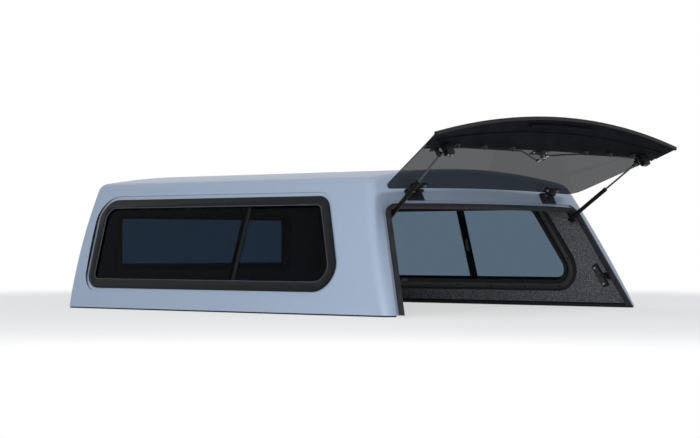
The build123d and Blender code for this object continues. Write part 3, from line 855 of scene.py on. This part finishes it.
def ring_loop(node: str, out: Vector, largest: bool) -> Piece:
    """One edge loop of the outer face of a ring-shaped node, as a mesh of its own.

    Args:
        node: the ring's CAD node.
        out: the direction that its outer face looks in.
        largest: the outer loop if true, and the inner one if not.

    Returns:
        The loop.
    """
    loop = loose_copy(node)
    edit(loop)
    bpy.ops.mesh.remove_doubles(threshold=MERGE_MM * MM)
    bpy.ops.mesh.select_all(action="DESELECT")
    bpy.ops.object.mode_set(mode="OBJECT")
    reach = max(vertex.co.dot(out) for vertex in loop.data.vertices)
    for face in loop.data.polygons:
        face.select = face.normal.dot(out) > 0.99 and reach - face.center.dot(out) < 0.3 * MM
    bpy.ops.object.mode_set(mode="EDIT")
    bpy.ops.mesh.select_mode(type="FACE")
    bpy.ops.mesh.region_to_loop()
    bpy.ops.mesh.duplicate()
    bpy.ops.mesh.select_all(action="INVERT")
    bpy.ops.mesh.delete(type="VERT")
    bpy.ops.mesh.separate(type="LOOSE")
    bpy.ops.mesh.select_mode(type="VERT")
    bpy.ops.object.mode_set(mode="OBJECT")
    loops = sorted(bpy.context.selected_objects, key=lambda piece: piece.dimensions.length)
    kept = loops[-1] if largest else loops[0]
    for piece in loops:
        if piece is not kept:
            bpy.data.objects.remove(piece)
    return kept


@dataclass(frozen=True)
class Bead:
    """A round bead of rubber laid along one edge of a ring-shaped node."""

    name: str
    node: str
    radius_mm: float
    largest: bool = False
    sink_mm: float = 0.0
    finish: Finish = RUBBER

    def build(self, out: Vector) -> None:
        """Lay the bead.

        Args:
            out: the direction that the node's outer face looks in.
        """
        loop = ring_loop(self.node, out, self.largest)
        loop.data.transform(Matrix.Translation(out * -self.sink_mm * MM))
        select_only(loop)
        bpy.ops.object.convert(target="CURVE")
        bead = bpy.context.object
        bead.data.bevel_depth = self.radius_mm * MM
        bead.data.bevel_resolution = 2
        bpy.ops.object.convert(target="MESH")
        edit(bead)
        close(bead, 60.0)
        settle(bead, self.name, self.finish, Body.CANOPY)


def loop_places(node: str, place: Place, count: int, inset_mm: float) -> list[Matrix]:
    """Places evenly spaced along the outer edge of a ring, moved in towards its middle.

    Args:
        node: the ring's CAD node.
        place: the ring's plane, with out along the screws.
        count: how many places.
        inset_mm: how far in from the outer edge.

    Returns:
        A matrix for each place.
    """
    loop = ring_loop(node, place.out, True)
    select_only(loop)
    bpy.ops.object.convert(target="CURVE")
    line = bpy.context.object
    points = [point.co.xyz.copy() for point in line.data.splines[0].points]
    bpy.data.objects.remove(line)
    middle = sum(points, Vector()) / len(points)
    ends = points[1:] + points[:1]
    total = sum((end - start).length for start, end in zip(points, ends))
    places, walked, number = [], 0.0, 0
    for start, end in zip(points, ends):
        span = (end - start).length
        while number < count and walked + span >= total * (number + 0.5) / count:
            spot = start.lerp(end, (total * (number + 0.5) / count - walked) / span)
            inwards = place.out.cross(end - start).normalized()
            if inwards.dot(middle - spot) < 0:
                inwards.negate()
            places.append(Matrix.Translation(spot + inwards * inset_mm * MM) @ place.axes)
            number += 1
        walked += span
    return places


# Sub-assemblies


def lay_gaskets(glazing: str, panel: str, node: str, out: Vector) -> None:
    """Lay a window's rubber: a bead against the glass and one against the wall.

    Args:
        glazing: the name of the bead against the glass.
        panel: the name of the bead against the wall.
        node: the window's frame.
        out: the direction that the window looks in.
    """
    # The bead against the glass is lighter grey: a painted highlight along the frame's inner edge.
    Bead(glazing, node, 2.4, sink_mm=2.0, finish=GLAZING_RUBBER_PAINTED_HIGHLIGHT).build(out)
    Bead(panel, node, 2.2, largest=True, sink_mm=7.0).build(out)


def screw_ring(name: str, ring: str, inside: Place, count: int) -> None:
    """Screw a window's trim ring down from the inside.

    Args:
        name: the screws' name.
        ring: the ring's CAD node.
        inside: the window's plane, looked at from inside.
        count: how many screws.
    """
    repeat(name, FRAME_COAT, Body.CANOPY,
           socket_screw(3.4, 2.4), loop_places(ring, inside, count, RING_SCREW_INSET_MM))


@dataclass
class SideWindow:
    """The rubber, the catch and the screws of one side window."""

    side: Side
    screws: int = 18
    catch_mm: Size = (16.0, 62.0, 9.0)
    catch_inset_mm: float = 26.0    # from the sliding pane's front edge

    def build(self) -> None:
        """Lay the gaskets, then add the catch and the clamp ring's screws."""
        word = self.side.word
        place = pane_place(f"fixed_pane_{word}")
        lay_gaskets(f"glazing_gasket_{word}", f"panel_gasket_{word}",
                    f"window_frame_{word}", place.out)
        self.add_catch(pane_place(f"sliding_pane_{word}").behind)
        screw_ring(f"trim_ring_screws_{word}", f"trim_ring_{word}", place.behind, self.screws)

    def add_catch(self, inside: Place) -> None:
        """A squeeze catch on the inner face of the sliding pane, beside its front edge."""
        low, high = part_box(f"sliding_pane_{self.side.word}")
        from_middle = (high.y - low.y) / 2 / MM - self.catch_inset_mm
        forward = math.copysign(from_middle, inside.right.y)
        block = rounded_block(self.catch_mm, 2.0, 0.82)
        grip = rounded_block((self.catch_mm[0] * 0.45, self.catch_mm[1] * 0.5, 3.0), 1.0, 0.8)
        grip.data.transform(Matrix.Translation((0.0, 0.0, self.catch_mm[2] * MM)))
        body = joined([block, grip], "catch")
        body.data.transform(inside.matrix(forward, 0.0, PANE_MM))
        settle(body, f"pane_catch_{self.side.word}", TRIM, Body.CANOPY)


@dataclass
class FrontWindow:
    """The rubber and the screws of the window in the front wall."""

    screws: int = 16

    def build(self) -> None:
        """Lay the gaskets, then add the clamp ring's screws."""
        place = pane_place("front_window_glass")
        lay_gaskets("front_glazing_gasket", "front_panel_gasket", "front_window_frame", place.out)
        screw_ring("front_trim_screws", "front_trim_ring", place.behind, self.screws)


@dataclass
class HingeFasteners:
    """Screws through the header leaves and caps over the bolts through the glass."""

    hinge_at_mm: float = 450.0
    screw_spread_mm: float = 35.0
    leaf_face_mm: float = -1.7      # header leaf's face at the middle, from the hinge axis
    leaf_in_mm: float = 10.7        # inner face of the door leaf
    screw_drops_mm: tuple[float, ...] = (16.0, 31.0)
    bolt_drop_mm: float = 26.0      # bolts through the glass, down the door

    def build(self) -> None:
        """Add the header screws, the outer caps and the inner nuts."""
        spots = [(side.value * self.hinge_at_mm + spread) for side in Side
                 for spread in (-self.screw_spread_mm, self.screw_spread_mm)]
        rear = rear_place()
        repeat("header_screws", FRAME_COAT, Body.CANOPY,
               socket_screw(4.2, 3.0),
               [rear.matrix(x, -drop, self.leaf_face_mm - bow_mm(x)) for x in spots
                for drop in self.screw_drops_mm])
        door = door_place()
        repeat("hinge_glass_caps", MOULDING, Body.DOOR,
               clamp_cap(8.0, 4.0),
               [door.matrix(x, -self.bolt_drop_mm, GLASS_OUT_MM - bow_mm(x)) for x in spots])
        under = door.behind
        repeat("hinge_nuts", ZINC, Body.DOOR,
               turned([(7.5, 0.0), (7.5, 0.8), (5.2, 0.8), (5.2, 4.6), (3.0, 4.6), (3.0, 6.4),
                       (2.4, 7.0)], 6),
               [under.matrix(-x, -self.bolt_drop_mm, bow_mm(x) - self.leaf_in_mm)
                for x in spots])


@dataclass
class Strut:
    """The fittings of one gas strut that the plain tube and rod lack."""

    side: Side
    collar_at_mm: float = 208.0     # along the tube from the lower pivot
    rod_end_mm: float = 386.3
    top_at_mm: float = 695.0
    top_drop_mm: float = 330.0
    cap_shifts_mm: tuple[float, ...] = (-8.5, 8.5)

    def build(self) -> None:
        """Add the guide's collar, the rolled ends and the caps on the glass."""
        self.fit("strut_guide_collar", "tube", self.collar_at_mm, 32,
                 [(4.4, -2.0), (9.6, -2.0), (9.6, 3.0), (8.6, 4.0), (6.2, 6.2), (4.7, 7.5),
                  (4.2, 7.5)])
        self.fit("strut_rolled_end", "tube", 0.0, 32,
                 [(4.5, 6.0), (6.5, 8.0), (9.0, 12.0), (9.3, 16.0), (9.3, 22.0), (9.0, 23.0)])
        self.fit("strut_rod_fitting", "rod", self.rod_end_mm, 6,
                 [(4.1, -15.0), (6.2, -14.0), (6.2, -10.5), (5.0, -8.5), (4.5, -7.0)])
        door = door_place()
        x = self.side.value * self.top_at_mm
        repeat(f"strut_glass_caps_{self.side.word}", MOULDING, Body.DOOR,
               clamp_cap(7.0, 3.6),
               [door.matrix(x + shift, -self.top_drop_mm, GLASS_OUT_MM - bow_mm(x))
                for shift in self.cap_shifts_mm])

    def fit(self, name: str, part: str, at_mm: float, sides: int,
            stations: list[tuple[float, float]]) -> None:
        """Turn one fitting and seat it on the strut's axis.

        Args:
            name: the fitting's name.
            part: tube or rod, whichever it moves with.
            at_mm: how far along the strut it sits.
            sides: how many sides its round has.
            stations: its radius and height from end to end.
        """
        piece = turned(stations, sides)
        piece.data.transform(strut_place(self.side).matrix(0.0, 0.0, at_mm))
        settle(piece, f"{name}_{self.side.word}", STRUT_COAT,
               Body.strut(part, self.side))


@dataclass
class Latches:
    """Guides, covers and screws of the latch gear on the inside of the door."""

    rod_line_mm: float = 372.0
    rod_depth_mm: float = 12.0
    latch_at_mm: float = 671.0
    latch_depth_mm: float = 46.0
    guides_mm: tuple[float, ...] = (250.0, 430.0, 600.0)
    cover_mm: Size = (34.0, 24.0, 2.6)
    cover_screws_mm: tuple[float, ...] = (-11.0, 11.0)
    plate_face_mm: float = -11.7    # inner face of the base plate, from the hinge axis
    plate_screws_mm: tuple[float, ...] = (-42.0, 42.0)

    def build(self) -> None:
        """Add the rod guides, the latch covers and the screws."""
        under = door_place().behind
        spots = [side.value * at for side in Side for at in self.guides_mm]
        repeat("rod_guides", TRIM, Body.DOOR,
               self.guide(),
               [under.matrix(-x, -self.rod_line_mm, self.rod_depth_mm - 6.0) for x in spots])
        repeat("side_latch_covers", FRAME_COAT, Body.DOOR,
               rounded_block(self.cover_mm, 1.0, 0.94),
               [under.matrix(side.value * -self.latch_at_mm, -self.rod_line_mm,
                             self.latch_depth_mm) for side in Side])
        repeat("side_latch_screws", ZINC, Body.DOOR,
               socket_screw(3.2, 2.2),
               [under.matrix(side.value * -self.latch_at_mm + shift, -self.rod_line_mm,
                             self.latch_depth_mm + self.cover_mm[2]) for side in Side
                for shift in self.cover_screws_mm])
        repeat("base_plate_screws", ZINC, Body.DOOR,
               socket_screw(4.0, 2.8),
               [under.matrix(shift, -HANDLE_DROP_MM, self.plate_face_mm)
                for shift in self.plate_screws_mm])

    def guide(self) -> Piece:
        """A saddle that holds a rod against the flange."""
        foot = rounded_block((26.0, 16.0, 3.0), 0.8)
        foot.data.transform(Matrix.Translation((0.0, 0.0, -5.0 * MM)))
        arch = rounded_block((10.0, 13.0, 13.0), 1.6, 0.8)
        arch.data.transform(Matrix.Translation((0.0, 0.0, -3.0 * MM)))
        return joined([foot, arch], "guide")


@dataclass
class StrikerPads:
    """The moulded pads on the side walls that the strikers are bolted through."""

    up_mm: float = -330.0           # from the hinge axis, down the rear face
    inside_mm: float = 124.0
    size_mm: Size = (32.0, 112.0, 15.0)
    screws_mm: tuple[float, ...] = (-40.0, 40.0)

    def build(self) -> None:
        """Stand a pad with its screws on each side lining."""
        rear = rear_place()
        for side in Side:
            start = rear.spot(0.0, self.up_mm, -self.inside_mm)
            spot, normal = first_hit(f"side_lining_{side.word}", start, X_AXIS * side.value)
            if normal.dot(X_AXIS) * side.value > 0:
                normal = -normal
            up = (rear.up - normal * rear.up.dot(normal)).normalized()
            place = Place(spot, up.cross(normal), up)
            pad = rounded_block(self.size_mm, 2.0, 0.86)
            pad.data.transform(place.matrix(0.0, 0.0))
            settle(pad, f"striker_pad_{side.word}", TRIM, Body.CANOPY)
            repeat(f"striker_pad_screws_{side.word}", ZINC, Body.CANOPY,
                   socket_screw(4.0, 2.6),
                   [place.matrix(0.0, up_mm, self.size_mm[2]) for up_mm in self.screws_mm])


@dataclass(frozen=True)
class SkirtRib:
    """One rib on the inside of the skirt, at a height above the base with the door closed."""

    name: str
    height_mm: float
    half_mm: float
    radius_mm: float
    sunk_mm: float = 1.0
    steps: int = 40
    sides: int = 12
    inside_y: float = -1.2      # a place within the canopy, in front of the closed skirt

    def build(self) -> None:
        """Lay the rib along the skirt's inner face."""
        points = []
        way = hinge_swing(-1) @ Vector((0.0, -1.0, 0.0))
        for step in range(self.steps + 1):
            across = self.half_mm * (2 * step / self.steps - 1)
            start = opened(Vector((across * MM, self.inside_y, self.height_mm * MM)))
            face = first_hit("door_skirt", start, way)[0]
            points.append(face - way * (self.radius_mm - self.sunk_mm) * MM)
        rib = disc(self.radius_mm, self.sides, points[0], (0.0, math.radians(90), 0.0))
        for last, spot in zip(points, points[1:]):
            push(spot - last)
        close(rib, 50.0)
        settle(rib, self.name, FLOW_COAT, Body.DOOR)


@dataclass
class Handle:
    """The escutcheon under the handle and the keyhole in its lock."""

    lock_face_mm: float = 43.0      # from the hinge axis

    def build(self) -> None:
        """Add the escutcheon, the lock's rim and its keyway."""
        door = door_place()
        rose = turned([(24.0, 0.2), (24.0, 2.0), (21.0, 4.0), (11.5, 5.0), (9.6, 5.0),
                       (9.6, 2.0)], 40)
        rose.data.transform(door.matrix(0.0, -HANDLE_DROP_MM, GLASS_OUT_MM))
        settle(rose, "handle_escutcheon", TRIM, Body.DOOR)
        rim = turned([(9.0, -1.4), (9.0, -0.6), (8.2, 0.2), (7.2, 0.2), (7.05, -0.8)], 32)
        rim.data.transform(door.matrix(0.0, -HANDLE_DROP_MM, self.lock_face_mm))
        settle(rim, "lock_rim", LOCK_STEEL, Body.HANDLE)
        keyway = rounded_block((1.4, 6.5, 0.5), 0.2)
        keyway.data.transform(door.matrix(0.0, -HANDLE_DROP_MM, self.lock_face_mm))
        settle(keyway, "lock_keyway", TRIM, Body.HANDLE)


# The studio


@dataclass
class Studio:
    """A pale sweep of floor under soft panels, and the camera where the photographer stood."""

    eye: Vector = field(default_factory=lambda: Vector((-6.7759, -6.8287, 0.2738)))
    aim: Vector = field(default_factory=lambda: Vector((-0.13, -0.98, 0.385)))
    lens_mm: float = 106.0
    floor_size: float = 60.0
    shadow_reach: float = 2.4   # floor that keeps the object's shadow, from its middle
    fade: float = 2.2
    near_white: float = 0.6     # share of the white background in the near floor

    def build(self) -> None:
        """Set the floor, the lamps, the world and the camera."""
        self.lay_floor()
        self.hang_panels()
        self.light_world()
        self.place_camera()
        bpy.context.scene.view_settings.view_transform = "Standard"

    def lay_floor(self) -> None:
        """A wide pale floor that the object stands on."""
        bpy.ops.object.select_all(action="DESELECT")
        bpy.ops.mesh.primitive_plane_add(size=self.floor_size, location=(0, 0, 0))
        floor = bpy.context.object
        floor.name = "studio_floor"
        floor.data.materials.append(self.floor_paint())

    def floor_paint(self) -> bpy.types.Material:
        """Matt pale paint that fades into the white background beyond the object's shadow.

        Returns:
            The floor's material.
        """
        made = bpy.data.materials.new("matt_floor_paint")
        made.use_nodes = True
        tree = made.node_tree
        shader = tree.nodes["Principled BSDF"]
        set_values(shader, {"Base Color": srgb("#E8EAED"), "Roughness": 0.9,
                            "Specular IOR Level": 0.1})
        place = add_node(tree, "ShaderNodeTexCoord").outputs["Object"]
        centred = add_node(tree, "ShaderNodeMapping", {"Vector": place, "Location": (0.1, 0.9, 0)})
        away = add_node(tree, "ShaderNodeVectorMath", {0: centred.outputs["Vector"]},
                        operation="LENGTH")
        far = add_node(tree, "ShaderNodeMapRange",
                       {"Value": away.outputs["Value"], "From Min": self.shadow_reach,
                        "From Max": self.shadow_reach + self.fade, "To Min": self.near_white},
                       interpolation_type="SMOOTHSTEP")
        white = add_node(tree, "ShaderNodeEmission", {"Color": srgb("#FFFFFF"), "Strength": 1.0})
        amount = add_node(tree, "ShaderNodeMath",
                          {0: far.outputs["Result"], 1: self.looked_at(tree)},
                          operation="MULTIPLY")
        mix = add_node(tree, "ShaderNodeMixShader",
                       {0: amount.outputs[0], 1: shader.outputs[0], 2: white.outputs[0]})
        tree.links.new(mix.outputs[0], tree.nodes["Material Output"].inputs["Surface"])
        return made

    def looked_at(self, tree: Tree) -> Socket:
        """One where a ray is seen, mirrored or seen through, and nought for other rays."""
        path = add_node(tree, "ShaderNodeLightPath")
        either = add_node(tree, "ShaderNodeMath",
                          {0: path.outputs["Is Camera Ray"],
                           1: path.outputs["Is Transmission Ray"]}, operation="MAXIMUM")
        any_of = add_node(tree, "ShaderNodeMath",
                          {0: either.outputs[0], 1: path.outputs["Is Glossy Ray"]},
                          operation="MAXIMUM")
        return any_of.outputs[0]

    def panel(self, name: str, place: tuple[float, float, float], size: tuple[float, float],
              watts: float, aim: tuple[float, float, float] = (0, -0.9, 0.3)) -> None:
        """Hang one soft rectangular lamp that faces a point.

        Args:
            name: the lamp's name.
            place: where it hangs.
            size: its width and height.
            watts: its power.
            aim: the point that it faces.
        """
        lamp = bpy.data.lights.new(name, "AREA")
        lamp.shape = "RECTANGLE"
        lamp.size, lamp.size_y = size
        lamp.energy = watts
        holder = bpy.data.objects.new(name, lamp)
        holder.location = place
        holder.rotation_euler = (Vector(aim) - Vector(place)).to_track_quat("-Z", "Y").to_euler()
        bpy.context.scene.collection.objects.link(holder)

    def hang_panels(self) -> None:
        """Soft light from above, from the camera's left and from behind."""
        self.panel("top_panel", (0.0, -1.0, 5.0), (6.0, 6.0), 14)
        self.panel("left_panel", (-5.5, -3.4, 1.2), (3.0, 2.4), 75)
        self.panel("rear_panel", (-3.6, -4.0, 0.5), (1.0, 0.9), 60, (-0.7, -1.7, 0.25))

    def light_world(self) -> None:
        """White where it is seen, mirrored or seen through, and a mild fill elsewhere."""
        world = bpy.data.worlds.new("studio_world")
        bpy.context.scene.world = world
        world.use_nodes = True
        tree = world.node_tree
        tree.nodes.clear()
        fill = add_node(tree, "ShaderNodeBackground", {"Color": srgb("#E6ECF6"), "Strength": 0.45})
        seen = add_node(tree, "ShaderNodeBackground", {"Color": srgb("#FFFFFF"), "Strength": 1.0})
        mix = add_node(tree, "ShaderNodeMixShader",
                       {0: self.looked_at(tree), 1: fill.outputs[0], 2: seen.outputs[0]})
        add_node(tree, "ShaderNodeOutputWorld", {"Surface": mix.outputs[0]})

    def place_camera(self) -> None:
        """Stand the camera low, beside the rear corner, where the photographer stood."""
        lens = bpy.data.cameras.new("view_camera")
        lens.lens = self.lens_mm
        lens.sensor_width = 36.0
        holder = bpy.data.objects.new("view_camera", lens)
        holder.location = self.eye
        holder.rotation_euler = (self.aim - self.eye).to_track_quat("-Z", "Y").to_euler()
        bpy.context.scene.collection.objects.link(holder)
        bpy.context.scene.camera = holder


def main() -> None:
    """Dress the nodes, add the fine pieces, then set the studio."""
    logging.basicConfig(level=logging.INFO, format="%(name)s: %(message)s")
    DressedNodes(EDGES_MM).build()
    for side in Side:
        SideWindow(side).build()
        Strut(side).build()
    FrontWindow().build()
    HingeFasteners().build()
    Latches().build()
    StrikerPads().build()
    for rib in (SkirtRib("skirt_ledge", 118.0, 770.0, 3.2),
                SkirtRib("skirt_centre_rib", 94.0, 212.0, 7.5)):
        rib.build()
    Handle().build()
    Studio().build()


if __name__ == "__main__":
    main()
